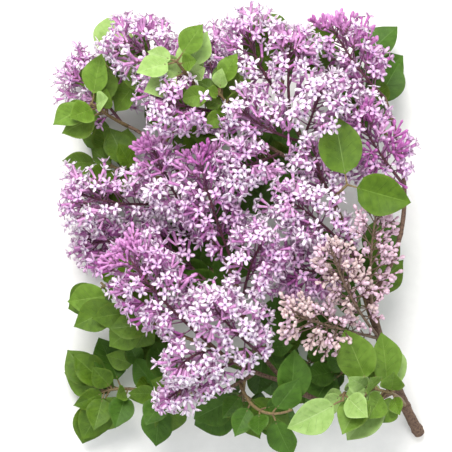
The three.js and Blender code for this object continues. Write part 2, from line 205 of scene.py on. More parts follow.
camera_data = bpy.data.cameras.new("camera")
camera_data.sensor_width = SENSOR_WIDTH
camera_data.lens = SENSOR_WIDTH * CAMERA_DISTANCE / VIEW_WIDTH
camera = bpy.data.objects.new("camera", camera_data)
camera.location = placed(0, 0, FRONT_HEIGHT + CAMERA_DISTANCE)
bpy.context.scene.collection.objects.link(camera)
bpy.context.scene.camera = camera
print("lens", round(camera_data.lens, 1), "mm")

# %% [markdown]
# ## Light
#
# The light is that of an open sky behind a hedge. A sun lamp would cut hard shadows between
# the petals, so the light comes from two wide lamps: the strong one stands beyond the
# flowering tips, and the weak one on the foot's side, so the tubes under the petals keep some
# light. A pale sky all round fills what they leave dark.

# %% Lamps and sky
LAMP_AIM = (0, 0, 50)  # inside the flowers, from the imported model's origin
SKY_STRENGTH = 0.76


def soft_lamp(name, place, size, watts, tint):
    """A square area lamp that looks at the flowers."""
    data = bpy.data.lights.new(name, "AREA")
    data.size, data.energy, data.color = size * MM, watts, tint
    lamp = bpy.data.objects.new(name, data)
    lamp.location = np.array(place) * MM
    sight = Vector(np.array(LAMP_AIM) * MM) - lamp.location
    lamp.rotation_euler = sight.to_track_quat("-Z", "Y").to_euler()
    bpy.context.scene.collection.objects.link(lamp)


soft_lamp("sky_side", place=(-250, 900, 1300), size=900, watts=34, tint=(1.0, 0.99, 0.97))
soft_lamp("fill_side", place=(500, -1000, 1100), size=1200, watts=8, tint=(0.96, 0.98, 1.0))
world = bpy.data.worlds.new("studio_air")
bpy.context.scene.world = world
world.use_nodes = True
sky = world.node_tree.nodes["Background"]
sky.inputs["Color"].default_value = (0.93, 0.95, 1.0, 1)
sky.inputs["Strength"].default_value = SKY_STRENGTH
bpy.context.scene.view_settings.view_transform = "Standard"
print("two lamps and a soft sky")

# %% [markdown]
# ## Finishes
#
# Every finish starts from what the real surface is. Petals, leaves and bark are all skins of
# a plant: not metals, with an index of refraction near 1.42. They differ in colour, in how
# glossy they are and in the grain that breaks their colour up. The grain could be painted on,
# but every petal would have to be unwrapped for it. So one function makes a skin from its two
# nearest colours and a noise of its grain's size.

# %% Colour and node helpers
def linear(hex_colour):
    """An sRGB hex colour as the linear colour that sockets take."""
    value = int(hex_colour.lstrip("#"), 16)
    channels = [(value >> shift & 255) / 255 for shift in (16, 8, 0)]
    return [c / 12.92 if c <= 0.04045 else ((c + 0.055) / 1.055) ** 2.4 for c in channels] + [1.0]


def plug(material, node, sockets):
    """Set each named socket of a node to a value, or link another node's output to it."""
    for key, value in sockets.items():
        if isinstance(value, bpy.types.NodeSocket):
            material.node_tree.links.new(value, node.inputs[key])
        else:
            node.inputs[key].default_value = value


def add_node(material, kind, sockets=(), **settings):
    """Add one node with its settings and links."""
    node = material.node_tree.nodes.new(kind)
    for key, value in settings.items():
        setattr(node, key, value)
    plug(material, node, dict(sockets))
    return node


print("half grey is", round(linear("#808080")[0], 3), "as linear light")

# %% A plant's skin
PATCH_STEPS = (0.35, 0.65)  # where the noise leaves the dark colour and reaches the light one
BUMPS_PER_PATCH = 4
BUMP_STRENGTH = 0.6
GLOW_REACH = 0.6  # how far light runs inside a petal or a leaf
GLOW_SHARES = (0.8, 0.6, 0.6)  # of that reach, for red, green and blue light


def living_skin(name, light, dark, grain, roughness, relief, glow=0.0, ior=1.42, shine=0.5):
    """A plant's skin: two near colours mixed in patches of a grain in mm, with fine relief."""
    material = bpy.data.materials.new(name)
    material.use_nodes = True
    place = add_node(material, "ShaderNodeTexCoord", label="place").outputs["Object"]
    patch_size = {"Vector": place, "Scale": 1 / (grain * MM), "Detail": 3}
    patches = add_node(material, "ShaderNodeTexNoise", patch_size, label="patches")
    mix = add_node(material, "ShaderNodeValToRGB", {"Fac": patches.outputs["Fac"]}, label="colours")
    for element, step, colour in zip(mix.color_ramp.elements, PATCH_STEPS, (dark, light)):
        element.position = step
        element.color = linear(colour)
    bump_size = {"Vector": place, "Scale": BUMPS_PER_PATCH / (grain * MM), "Detail": 2}
    bumps = add_node(material, "ShaderNodeTexNoise", bump_size, label="bumps")
    height = {"Height": bumps.outputs["Fac"], "Distance": relief * MM, "Strength": BUMP_STRENGTH}
    skin = {
        "Base Color": mix.outputs["Color"],
        "Normal": add_node(material, "ShaderNodeBump", height, label="relief").outputs["Normal"],
        "Roughness": roughness,
        "IOR": ior,
        "Specular IOR Level": shine,
        "Subsurface Weight": glow,
        "Subsurface Radius": GLOW_SHARES,
        "Subsurface Scale": GLOW_REACH * MM,
    }
    plug(material, material.node_tree.nodes["Principled BSDF"], skin)
    return material


def skins(rows, **how):
    """A finish for each row of name, light colour and dark colour."""
    return {key: living_skin(*colours, **how) for key, colours in rows.items()}


print("the relief's bumps are", BUMPS_PER_PATCH, "times finer than the patches")

# %% [markdown]
# ### Floor
#
# The branch lies on a wide sheet of matt paper. Pressed fibres scatter the light, so it shows
# no reflection, only a soft shadow. A curved backdrop would have no far edge at all, but from
# above, where the camera is, a wide flat sheet has none in sight either. Its fibres are finer
# than can show, so its patches are drawn 6 mm wide.

# %% Floor
FLOOR_SIDE = 8000


def lay_floor():
    bpy.ops.mesh.primitive_plane_add(size=FLOOR_SIDE * MM)
    floor = bpy.context.object
    floor.name = "floor"
    paper = living_skin(
        "pale_matt_paper", "#F1F0EC", "#EEEDE9", grain=6, roughness=0.85, relief=0.02, ior=1.5
    )
    floor.data.materials.append(paper)
    return floor


print("floor:", lay_floor().name)

# %% [markdown]
# ### Petals
#
# A lilac petal is a thin waxy skin over cells full of sap and air, so it is matt and a little
# translucent. This kind opens nearly white inside and keeps its purple on the back and on the
# tube. One pattern could run over the whole branch, but real sprays open at different times.
# So every spray is dealt one tint, and the colours stay with their flowers. A petal's cells
# are a few hundredths of a millimetre wide, so their grain is drawn coarser, at 2 mm.

# %% Petal, tube and bud finishes
PETALS = skins(
    {
        # a rim is dealt the next lighter tint: the petals' paler edges, with a painted highlight where
        # the raised rims catch the light
        "white": ("petal_rim_white_with_painted_highlight", "#FFFCFE", "#FBF1F9"),  # only a rim, on snow petals
        "snow": ("petal_white_with_a_lilac_breath", "#FAF0F8", "#F2E0EF"),
        "pale": ("petal_pale_lilac", "#F3E5F1", "#E7D2E4"),
        "soft": ("petal_soft_lilac", "#EBD5E7", "#DBBDD8"),
        "deep": ("petal_mauve", "#DDB4D8", "#CA9AC5"),
    },
    grain=2.0, roughness=0.55, relief=0.02, glow=0.15,
)
TUBES = skins(
    {
        "snow": ("tube_lilac", "#DCAED4", "#C88EC0"),
        "pale": ("tube_mauve", "#D098C8", "#B877AF"),
        "soft": ("tube_purple", "#C281B9", "#A4629B"),
        "deep": ("tube_rosy_purple", "#BA6DB0", "#984C8D"),
    },
    grain=2.5, roughness=0.5, relief=0.02, glow=0.1,
)
BUDS = skins(
    {
        "tan": ("bud_dusty_pink", "#D8C3C2", "#BDA29F"),
        "pink": ("bud_rosy_lilac", "#DFC5D2", "#C8A4B4"),
    },
    grain=1.5, roughness=0.55, relief=0.02, glow=0.1,
)
HEART = living_skin("petal_heart_lilac", "#C69ACB", "#AE80B6", grain=1.0, roughness=0.55, relief=0.01)
# the throat's dark violet is the tube's purple, darkened as painted shade in its opening
PAINTED_THROAT_SHADE = living_skin("throat_violet_with_painted_shade", "#4E2F5C", "#352042", grain=1.0, roughness=0.7, relief=0.01)
CALYX = living_skin("calyx_plum_green", "#7E5765", "#62474E", grain=1.0, roughness=0.6, relief=0.02)
print(len(PETALS), "petal tints,", len(TUBES), "tube tints")

# %% [markdown]
# ### Leaves, twigs and bark
#
# A lilac leaf has a smooth waxy upper side with a soft gloss and a paler, more matt underside.
# Young leaves are yellow-green and let more light through, and old ones are dark. The sunny
# green is partly painted sun, lighter than the grown green. The deep green is partly painted
# shade, darker still, mostly for shoots that lie low behind the flowers. The veins are paler
# than the blade. A blade's cells are too fine to show, so its patches are drawn 5 mm wide, like
# the fields between its veins. The flower twigs are plum-brown and matt with fine down, which is
# drawn coarser too, at 1.5 mm, and the leafy ones are greener. Bark is dry cork, the roughest of
# all, in patches about a millimetre wide, and the cut foot shows fresh cream wood.

# %% Leaf, twig and bark finishes
LEAF_SKIN = dict(grain=5.0, roughness=0.55, relief=0.03, shine=0.3)
YOUNG_LEAVES = {
    "fresh": ("leaf_young_light_green", "#98B56A", "#87A658"),
    # partly painted sun: a yellow green, lighter than the grown one
    "sunny": ("leaf_yellow_green_with_painted_sun", "#66862C", "#577522"),
}
OLD_LEAVES = {
    "mid": ("leaf_grown_green", "#506D16", "#425E10"),
    # partly painted shade: the old leaves' dark green, made darker still for leaves low behind the
    # flowers
    "deep": ("leaf_old_dark_green_with_painted_shade", "#42651A", "#375812"),
}
LEAVES = {**skins(YOUNG_LEAVES, glow=0.1, **LEAF_SKIN), **skins(OLD_LEAVES, glow=0.05, **LEAF_SKIN)}
# each vein follows its blade's green, so the sunny and deep veins carry the same painted sun and painted
# shade
VEINS = skins(
    {
        "fresh": ("vein_young_pale_green", "#A8C07E", "#9AB370"),
        "sunny": ("vein_yellow_green_with_painted_sun", "#77933C", "#6A8532"),
        "mid": ("vein_grown_green", "#617F26", "#557220"),
        "deep": ("vein_old_green_with_painted_shade", "#517328", "#466620"),
    },
    grain=3.0, roughness=0.5, relief=0.02,
)
LEAF_BACK = living_skin(
    "leaf_underside_grey_green", "#7D9A66", "#6D8A57", grain=5.0, roughness=0.65, relief=0.03
)
LEAFY_TWIG = {"leaf": ("leafy_twig_brown_green", "#7F7048", "#644F36")}
DOWNY_TWIGS = {
    "flower": ("flower_twig_plum_brown", "#6C3F4C", "#472A30"),
    "bud": ("bud_twig_olive_brown", "#8A7460", "#6B5847"),
}
SMOOTH_STALK = {"stalk": ("flower_stalk_mauve", "#925A80", "#714263")}
TWIGS = {
    **skins(LEAFY_TWIG, grain=1.5, roughness=0.6, relief=0.05),
    **skins(DOWNY_TWIGS, grain=1.5, roughness=0.65, relief=0.05),
    **skins(SMOOTH_STALK, grain=1.5, roughness=0.6, relief=0.03),
}
BARK = living_skin("lilac_bark_grey_brown", "#79624F", "#4B372E", grain=1.2, roughness=0.8, relief=0.15)
PITH = living_skin("cut_wood_cream", "#D8C49C", "#BFA77C", grain=0.8, roughness=0.75, relief=0.05)
print(len(LEAVES), "leaf greens,", len(TWIGS), "twig finishes")

# %% [markdown]
# ## Gathering small parts into one mesh
#
# The branch has thousands of florets, leaves and twigs. Each could be an object or an instance
# of its own, but thousands of objects are slow, and instances get lost when the branch is
# handed to another program. So small parts are gathered as arrays of corners and triangles,
# and each kind becomes one mesh. Twigs, tubes and blades are all rows of corners, so one
# lattice rule joins them, and a taper makes a twig of any curve.

# %% Lattices and tubes
def lattice(rows, columns, closed):
    """Triangle pairs that join rows of corners, shaped (rows - 1, spans, 2, 3)."""
    spans = columns if closed else columns - 1
    row, column = np.meshgrid(np.arange(rows - 1), np.arange(spans), indexing="ij")
    a, b = row * columns + column, row * columns + (column + 1) % columns
    c, d = a + columns, b + columns
    return np.stack([np.stack([a, b, d], -1), np.stack([a, d, c], -1)], 2)


def capped(rings, sides):
    """Triangles that close a stack of rings, whose end centres are the last two corners."""
    first = rings * sides
    k, top = np.arange(sides), (rings - 1) * sides
    foot = np.stack([np.full(sides, first), (k + 1) % sides, k], -1)
    head = np.stack([np.full(sides, first + 1), top + k, top + (k + 1) % sides], -1)
    return np.concatenate([lattice(rings, sides, True).reshape(-1, 3), foot, head])


def tube(centres, radii, sides):
    """A closed round tube through centres: its corners and triangles."""
    centres = np.asarray(centres, float)
    ahead = np.gradient(centres, axis=0)
    ahead /= np.linalg.norm(ahead, axis=1)[:, None]
    side = np.array([across(a, UP) for a in ahead])
    other = np.cross(ahead, side)
    angle = 2 * np.pi * np.arange(sides) / sides
    spokes = side[:, None] * np.cos(angle)[:, None] + other[:, None] * np.sin(angle)[:, None]
    walls = centres[:, None] + spokes * np.asarray(radii, float)[:, None, None]
    corners = np.concatenate([walls.reshape(-1, 3), centres[:1], centres[-1:]])
    return corners, capped(len(centres), sides)


def tapered(curve, end, rings, radii, sides):
    """A tube along a curve up to a share of its length, between two radii."""
    return tube(curve.at(np.linspace(0, end, rings)), np.linspace(*radii, rings), sides)


test_tube = tapered(test_bow, 1, 5, (1, 1), 6)
print("a 6-sided tube of 5 rings has", len(test_tube[1]), "triangles")

# %% A pile of parts
class Pile:
    """Corners, triangles and finishes of many parts of one kind."""

    def __init__(self, finishes):
        self.finishes = finishes
        self.corners, self.triangles, self.finish, self.count = [], [], [], 0

    def add(self, corners, triangles, finish):
        """Add a part. Its finish is one number for all its triangles, or one for each."""
        self.corners.append(corners)
        self.triangles.append(triangles + self.count)
        self.finish.append(np.broadcast_to(finish, len(triangles)))
        self.count += len(corners)

    def made(self, name, slot, nodes):
        """The pile as one object that stands for some of the solids."""
        corners = (np.concatenate(self.corners) + SHIFT) * MM
        triangles = np.concatenate(self.triangles)
        mesh = bpy.data.meshes.new(name)
        mesh.vertices.add(len(corners))
        mesh.vertices.foreach_set("co", corners.astype(np.float32).ravel())
        mesh.loops.add(triangles.size)
        mesh.loops.foreach_set("vertex_index", triangles.astype(np.int32).ravel())
        mesh.polygons.add(len(triangles))
        mesh.polygons.foreach_set("loop_start", np.arange(0, triangles.size, 3, dtype=np.int32))
        mesh.polygons.foreach_set("material_index", np.concatenate(self.finish).astype(np.int32))
        mesh.update(calc_edges=True)
        mesh.shade_smooth()
        for finish in self.finishes:
            mesh.materials.append(finish)
        piece = bpy.data.objects.new(name, mesh)
        bpy.context.scene.collection.objects.link(piece)
        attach(piece, "root")
        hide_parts(*nodes)
        print(f"{name}: {len(triangles)} triangles for {len(nodes)} solids")


test_pile = Pile([BARK])
test_pile.add(*test_tube, 0)
print("a pile of one such tube holds", test_pile.count, "corners")

# %% [markdown]
# ## Bark
#
# A young lilac limb is round and thin. Its bark has shallow furrows along it, small raised
# pores, and a swelling with two buds wherever a pair of leaves once stood. A bump map could
# show furrows, but the limb's edge would stay smooth. So furrows, pores and swellings are
# moved into the mesh, and only the finest grain is left to the finish.

# %% Limbs with bark relief
RING_GAP = 1.1
LEAST_RINGS = 12
LIMB_SIDES = 22
NODE_GAP = 24  # between two old leaf pairs
NODE_SHIFT = 7  # puts the lowest old leaf pair 5 mm above the limb's foot
NODE_SPREAD = 3.2  # square millimetres, how far along the limb a swelling runs
NODE_SWELLING, FURROW_DEPTH, PORE_HEIGHT = 0.16, 0.07, 0.06  # as shares of the radius
FURROWS_ROUND, FURROW_LENGTH = 3.2, 7  # noise cells from the limb's middle, and mm along it
PORE_FINENESS, PORE_START = 0.9, 0.35  # noise cells per mm, and the noise where a pore begins
SEED_STEP = 10  # how far apart two limbs read the noise


def bark_limb(curve, radii, seed):
    """A limb with furrows, pores and swollen nodes."""
    rows = max(LEAST_RINGS, round(curve.length / RING_GAP))
    shares = np.linspace(0, 1, rows)
    lengths = shares * curve.length
    from_node = (lengths + NODE_SHIFT) % NODE_GAP - NODE_GAP / 2
    swell = np.exp(-(from_node**2) / NODE_SPREAD)
    radius = radii[0] + (radii[1] - radii[0]) * shares
    corners, triangles = tube(curve.at(shares), radius * (1 + NODE_SWELLING * swell), LIMB_SIDES)
    for i, j in product(range(rows), range(LIMB_SIDES)):
        centre, corner = curve.at(shares[i]), corners[i * LIMB_SIDES + j]
        angle = 2 * math.pi * j / LIMB_SIDES
        x, y = FURROWS_ROUND * math.cos(angle), FURROWS_ROUND * math.sin(angle)
        furrow = noise.noise(Vector((x, y, lengths[i] / FURROW_LENGTH + seed)))
        pore = max(0, noise.noise(Vector(corner) * PORE_FINENESS) - PORE_START)
        lift = 1 + FURROW_DEPTH * furrow + PORE_HEIGHT * pore
        corners[i * LIMB_SIDES + j] = centre + (corner - centre) * lift
    return corners, triangles


limb_meshes = []
for number, (name, *_, radii) in enumerate(LIMBS):
    corners, triangles = bark_limb(limb_curves[name], radii, SEED_STEP * number)
    limb_meshes.append((corners, triangles))
    finish = np.zeros(len(triangles), int)
    if name == "main_stem":
        finish[-2 * LIMB_SIDES : -LIMB_SIDES] = 1  # the foot's cap is cut wood
    pile = Pile([BARK, PITH])
    pile.add(corners, triangles, finish)
    pile.made("bark_" + name, "bark", [name])

# %% [markdown]
# ## Masses
#
# A panicle is a flower cluster on one axis. A shoot is a leafy twig. Both grow from a limb, and
# both tables repeat the solids'. A panicle's stage says how far its florets have opened, and
# its tints say how pale it is, the commonest first. A rule could strew the masses at random,
# but then the gaps between them would be random too, so each one has its own row.

# %% Panicle table
PANICLES = [
    # name, limb, share of limb, tip, width, stage, tints
    ("panicle_front_left", "bough_front", 1, (-64, -18, 100), 58, "young", ("pale", "soft", "deep")),
    ("panicle_low_centre", "bough_centre", 0.3, (-8, -51, 116), 54, "open", ("snow", "snow", "pale")),
    ("panicle_low_front", "bough_front", 0.6, (-38, -112, 92), 34, "open", ("snow", "pale", "soft")),
    ("panicle_centre", "bough_centre", 1, (-17, 43, 90), 56, "young", ("soft", "pale", "deep")),
    ("panicle_centre_right", "bough_centre", 0.7, (24, -9, 108), 52, "open", ("soft", "pale", "snow")),
    ("panicle_centre_left", "bough_centre", 0.6, (-46, -8, 56), 52, "open", ("pale", "soft", "deep")),
    ("panicle_right", "bough_right", 0.35, (40, 16, 102), 56, "open", ("snow", "pale", "soft")),
    ("panicle_upper_right", "bough_top", 0.4, (62, 88, 102), 56, "open", ("snow", "pale", "pale")),
    ("panicle_upper_centre", "bough_top", 0.4, (8, 76, 100), 56, "open", ("snow", "pale", "soft")),
    ("panicle_top", "bough_top", 1, (12, 130, 90), 54, "open", ("snow", "pale", "soft")),
    ("panicle_top_right", "bough_far_right", 1, (70, 131, 70), 54, "young", ("soft", "pale", "deep")),
    ("panicle_right_inner", "bough_right", 0.8, (56, 52, 94), 46, "open", ("pale", "soft", "snow")),
    ("panicle_right_edge", "bough_far_right", 0.62, (86, 70, 88), 54, "open", ("deep", "soft", "snow")),
    ("panicle_upper_mid", "bough_upper_left", 0.75, (-38, 78, 104), 48, "open", ("pale", "snow", "soft")),
    ("panicle_top_mid", "bough_upper_left", 0.75, (-13, 122, 62), 50, "open", ("soft", "pale", "snow")),
    ("panicle_top_left", "bough_upper_left", 1, (-68, 122, 62), 56, "open", ("pale", "snow", "soft")),
    ("panicle_corner_left", "bough_far_left", 1, (-99, 104, 26), 52, "open", ("snow", "pale", "soft")),
    ("panicle_low_mid", "bough_front", 0.85, (-30, -90, 112), 44, "open", ("snow", "snow", "pale")),
    ("panicle_left", "bough_left", 1, (-98, 22, 48), 54, "open", ("pale", "snow", "soft")),
    ("panicle_left_upper", "bough_left", 0.6, (-48, 52, 84), 48, "young", ("soft", "pale", "snow")),
    ("panicle_middle", "bough_upper_left", 0.3, (8, 38, 104), 52, "open", ("pale", "snow", "soft")),
    ("panicle_bud_right", "main_stem", 0.9, (96, 8, 104), 40, "bud", ("pink",)),
    ("panicle_bud_up", "main_stem", 0.75, (66, -14, 124), 42, "bud", ("tan", "pink")),
    ("panicle_bud_low", "main_stem", 0.75, (42, -56, 118), 44, "bud", ("tan", "pink")),
    ("panicle_left_low", "bough_left", 0.5, (-96, -12, 24), 48, "open", ("pale", "soft", "deep")),
    ("panicle_right_low", "bough_right", 0.15, (44, -28, 80), 50, "open", ("pale", "soft", "deep")),
    ("panicle_top_inner", "bough_top", 0.7, (42, 118, 104), 46, "open", ("snow", "pale", "soft")),
]
print(len(PANICLES), "panicles")

# %% Shoot table
SHOOTS = [
    # in the green column, deep is partly painted shade, mostly on shoots low behind the flowers, and
    # sunny is partly painted sun
    # name, limb, share of limb, tip, bow, longest leaf, pairs, green
    ("leaves_foot", "main_stem", 0.25, (92, -106, 78), (4, 3, 12), 36, 2, "sunny"),
    ("leaves_foot_front", "bough_low", 0.42, (76, -114, 86), (-2, 8, 9.5), 35, 1, "fresh"),
    ("leaves_low_front", "bough_low_left", 0.15, (43, -119, 90), (-4, -9, 4), 38, 1, "deep"),
    ("leaves_low_centre", "bough_low_left", 0.1, (12, -121, 56), None, 36, 3, "deep"),
    ("leaves_bottom", "bough_low_left", 0.45, (-44, -113, 44), None, 34, 2, "deep"),
    ("leaves_low_left", "bough_low_left", 1, (-88, -114, 24), None, 36, 3, "mid"),
    ("leaves_low_right", "main_stem", 0.5, (56, -90, 28), None, 38, 3, "deep"),
    ("leaves_low_back", "bough_low_left", 0.7, (-66, -88, 22), None, 36, 3, "mid"),
    ("leaves_left_low", "bough_front", 0.9, (-84, -38, 46), None, 34, 3, "mid"),
    ("leaves_left", "bough_far_left", 0.3, (-92, 46, 16), None, 32, 3, "mid"),
    ("leaves_corner_left", "bough_far_left", 0.95, (-90, 82, 58), None, 30, 2, "sunny"),
    ("leaves_top_left", "bough_upper_left", 0.97, (-84, 110, 24), None, 32, 3, "sunny"),
    ("leaves_top_front", "bough_upper_left", 0.9, (-32, 106, 106), None, 28, 2, "fresh"),
    ("leaves_upper_mid", "bough_upper_left", 0.55, (-6, 88, 96), None, 24, 2, "sunny"),
    ("leaves_top", "bough_top", 0.9, (42, 118, 72), None, 32, 3, "mid"),
    ("leaves_right", "bough_right", 0.82, (78, 27, 106), (-2, -2, 6), 43, 1, "mid"),
    ("leaves_centre_back", "bough_right", 0.55, (22, 48, 40), None, 38, 3, "deep"),
    ("leaves_low_middle", "bough_centre", 0.45, (34, -82, 36), None, 36, 4, "deep"),
    ("leaves_right_low", "main_stem", 0.74, (87, -18, 35), None, 36, 3, "deep"),
    ("leaves_right_top", "bough_far_right", 0.75, (88, 112, 26), None, 34, 3, "deep"),
    ("leaves_centre_inner", "bough_centre", 0.6, (-18, -10, 34), None, 36, 4, "deep"),
    ("leaves_left_back", "bough_far_left", 0.6, (-28, 74, 28), None, 36, 3, "mid"),
]
print(len(SHOOTS), "leafy shoots")

# %% [markdown]
# A mass's stem bows a little, by chance, unless its row gives the bow. It makes the same draws
# in the same order as its solid did, so it bows the same way.

# %% Start every mass with its stem
SAG = 0.08  # how far a stem may bow, as a share of its length
PANICLE_SEED, SHOOT_SEED = 101, 201  # of the first panicle and the first shoot


def mass_stem(limb, share, tip, bow, draw):
    """The curve of a mass's own stem."""
    start = limb_curves[limb].at(share)
    sag = np.linalg.norm(start - np.array(tip)) * SAG
    if bow is None:
        bow = (draw.spread(sag), draw.spread(sag), sag / 2)
    return Bow(start, tip, bow)


panicles, shoots = [], []
for i, (name, limb, share, tip, width, stage, tints) in enumerate(PANICLES):
    draw = Draw(PANICLE_SEED + i)
    curve = mass_stem(limb, share, tip, None, draw)
    panicles.append(dict(name=name, curve=curve, width=width, stage=stage, tints=tints, draw=draw))
for i, (name, limb, share, tip, bow, leaf, pairs, green) in enumerate(SHOOTS):
    draw = Draw(SHOOT_SEED + i)
    curve = mass_stem(limb, share, tip, bow, draw)
    shoots.append(dict(name=name, curve=curve, leaf=leaf, pairs=pairs, green=green, draw=draw))
print("longest shoot", round(max(s["curve"].length for s in shoots)), "mm")

# %% [markdown]
# ## Leaves
#
# The leaf is broad and oval with a short point, folded up a little along its midrib, and its
# blade swells between the side veins. It could be a flat card with a leaf painted on it, but
# light would slide over its veins and swellings as if they weren't there. So a lattice of
# corners gives the shape, and the side veins are thin ridges with a pale colour of their own.

# %% One leaf's shape
WIDTH_SHARE, FOLD, DROOP = 0.74, 0.2, 0.1
SWELLING, SWELLS = 0.22, 12  # between the side veins: its height, and half waves along the blade
BLADE_THICKNESS, LEAST_HALF_WIDTH = 0.3, 0.06
LEAF_ROWS, ROW_EASE, HALF_COLUMNS = 13, 1.15, 4  # the rows close up towards the tip
MIDRIB = 0.022  # half the midrib's width, as a share of half the blade's
UPPER_SIDE, UNDER_SIDE, VEIN = range(3)


def half_width(share, length):
    """Half the blade's width: full near the stalk, and the smaller the leaf, the sharper its tip."""
    young = min(max((40 - length) / 14, 0), 1)
    narrowing = 0.52 + (0.28 + 0.42 * young) * share
    return 0.5 * WIDTH_SHARE * length * np.sin(np.pi * share**0.88) ** narrowing


def blade_height(x, share, length, wave):
    """Fold along the midrib, droop towards the tip and the swelling between side veins."""
    reach = np.abs(x) / (0.5 * WIDTH_SHARE * length)
    fold = FOLD * np.abs(x) * (0.6 + 0.4 * np.tanh(4 * reach))
    across_blade = np.sin(np.pi * np.clip(reach, 0, 1))
    swell = SWELLING * across_blade * np.cos(SWELLS * np.pi * (share - 0.3 * reach))
    ripple = wave * reach**2 * np.sin(9 * share + 2 * np.sign(x))
    return fold - DROOP * length * share**2 + swell + ripple


def blade(length, wave):
    """A closed blade: its corners, its triangles and which side each one is on."""
    share = 1 - (1 - np.linspace(0.0, 1.0, LEAF_ROWS)) ** ROW_EASE
    outer = np.linspace(0, 1, HALF_COLUMNS + 1)[1:]
    columns = np.concatenate([-outer[::-1], [-MIDRIB, MIDRIB], outer])
    x = np.maximum(half_width(share, length), LEAST_HALF_WIDTH)[:, None] * columns
    s = np.broadcast_to(share[:, None], x.shape)
    top = np.stack([x, s * length, blade_height(x, s, length, wave)], -1)
    depth = np.broadcast_to(BLADE_THICKNESS * (1 - columns**2), x.shape)
    under = top - np.stack([0 * x, 0 * x, depth], -1)
    rows, cols = x.shape
    upper = lattice(rows, cols, False)
    marks = np.full(upper.shape[:3], UPPER_SIDE)
    marks[:, HALF_COLUMNS] = VEIN
    upper, lower = upper.reshape(-1, 3), upper.reshape(-1, 3)[:, ::-1] + rows * cols
    rim = [(i, 0) for i in range(rows)] + [(rows - 1, j) for j in range(1, cols)]
    rim += [(i, cols - 1) for i in range(rows - 2, -1, -1)] + [(0, j) for j in range(cols - 2, 0, -1)]
    loop = np.array([i * cols + j for i, j in rim])
    after, down = np.roll(loop, -1), rows * cols
    wall = [np.stack([loop, loop + down, after], -1), np.stack([after, loop + down, after + down], -1)]
    corners = np.concatenate([top.reshape(-1, 3), under.reshape(-1, 3)])
    sides = np.repeat([UNDER_SIDE, UPPER_SIDE], [len(lower), 2 * len(loop)])
    return corners, np.concatenate([upper, lower, *wall]), np.concatenate([marks.ravel(), sides])


print("a 30 mm leaf is", round(2 * half_width(1 / 3, 30), 1), "mm wide at a third of its length")

# %% Its side veins
SIDE_VEINS = 5  # on each side of the midrib
LOWEST_VEIN, VEIN_SPAN = 0.06, 0.75  # where the veins leave the midrib, as shares of its length
VEIN_REACH = np.linspace(0.02, 0.86, 5)  # from the midrib towards the edge
VEIN_LEAN, VEIN_BEND = 0.30, 0.25  # how far a vein runs towards the tip, and how much it bends


def side_veins(length, wave):
    """The courses of the side veins over the blade, as lists of points."""
    courses = []
    for i, hand in product(range(SIDE_VEINS), (-1, 1)):
        root = LOWEST_VEIN + VEIN_SPAN * i / SIDE_VEINS
        share = root + VEIN_LEAN * VEIN_REACH * (1 - VEIN_BEND * VEIN_REACH)
        x = hand * VEIN_REACH * half_width(share, length)
        courses.append(np.stack([x, share * length, blade_height(x, share, length, wave)], -1))
    return courses


print("a blade has", len(blade(30, 0.4)[1]), "triangles and", len(side_veins(30, 0.4)), "side veins")

# %% [markdown]
# A large leaf is grown only where its solid has one. The leaves of a solid could be counted
# and listed by hand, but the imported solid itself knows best, so it is asked how near it lies.

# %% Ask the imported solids
def search_tree(meshes):
    """One search tree over several meshes."""
    starts = np.cumsum([0] + [len(corners) for corners, _ in meshes])
    corners = np.concatenate([corners for corners, _ in meshes])
    faces = [list(t + s) for (_, triangles), s in zip(meshes, starts) for t in np.asarray(triangles)]
    return BVHTree.FromPolygons(corners.tolist(), faces)


def solid_tree(name):
    """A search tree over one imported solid, in growing millimetres."""
    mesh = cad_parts[name].data
    corners = np.zeros(len(mesh.vertices) * 3)
    mesh.vertices.foreach_get("co", corners)
    faces = [list(polygon.vertices) for polygon in mesh.polygons]
    return search_tree([(corners.reshape(-1, 3) / MM - SHIFT, faces)])


def gap_to(tree, point):
    return tree.find_nearest(Vector(point))[3]


limb_tree = search_tree(limb_meshes)
print("the foot is", round(gap_to(limb_tree, FOOT), 2), "mm from the bark")

# %% Where leaves stand
PETIOLE = 7  # the free part of a leaf's stalk
FIRST_PAIR, PAIR_SPAN = 0.96, 0.62  # shares of the shoot: the top pair's, and what all take up
LEAF_LEANS = (52, 70)  # degrees from the shoot
PAIR_TWIST, BLADE_TILT = 0.45, 0.5  # radians at most
SHORTEST_BY = 0.22  # how much shorter a leaf may be than the shoot's longest


def pair_shares(pairs, shift=0.0):
    """Where the leaf pairs stand on a shoot, moved down by a share of their distance."""
    return [FIRST_PAIR - PAIR_SPAN * (i + shift) / max(pairs, 2) for i in range(pairs)]


def leaf_places(shoot, shares, scale, lift=0.0, leans=LEAF_LEANS):
    """Each leaf's start, foot and directions, pair by pair down the shoot."""
    draw, curve, places = shoot["draw"], shoot["curve"], []
    for share, hand in product(shares, (-1, 1)):
        tangent, start = curve.tangent(share), curve.at(share)
        sideways = np.cross(across(tangent, UP), tangent)
        lean = math.radians(leans[0] + (leans[1] - leans[0]) * draw())
        outward = turned(hand * sideways, UP, draw.spread(PAIR_TWIST) + hand * lift)
        ahead = turned(tangent, across(tangent, outward), lean)
        facing = across(ahead, UP)
        tilt = turned(facing, np.cross(ahead, facing), draw.spread(BLADE_TILT))
        length = shoot["leaf"] * (1 - SHORTEST_BY * draw()) * scale
        foot = start + ahead * PETIOLE * scale
        places.append(dict(start=start, foot=foot, ahead=ahead, tilt=tilt, length=length))
    return places


def on_leaf(place, x, share, height):
    """A point of the leaf's own space as a growing place."""
    sideways = np.cross(place["ahead"], place["tilt"])
    return (
        place["foot"]
        + np.multiply.outer(x, sideways)
        + np.multiply.outer(share * place["length"], place["ahead"])
        + np.multiply.outer(height, place["tilt"])
    )


print("three pairs stand at", [round(share, 2) for share in pair_shares(3)], "of a shoot")

# %% [markdown]
# The blade, its veins and its stalk are made together, at one place. A shoot keeps its own
# green, and now and then a leaf is one step lighter or darker, as it is when it catches more
# or less sun.

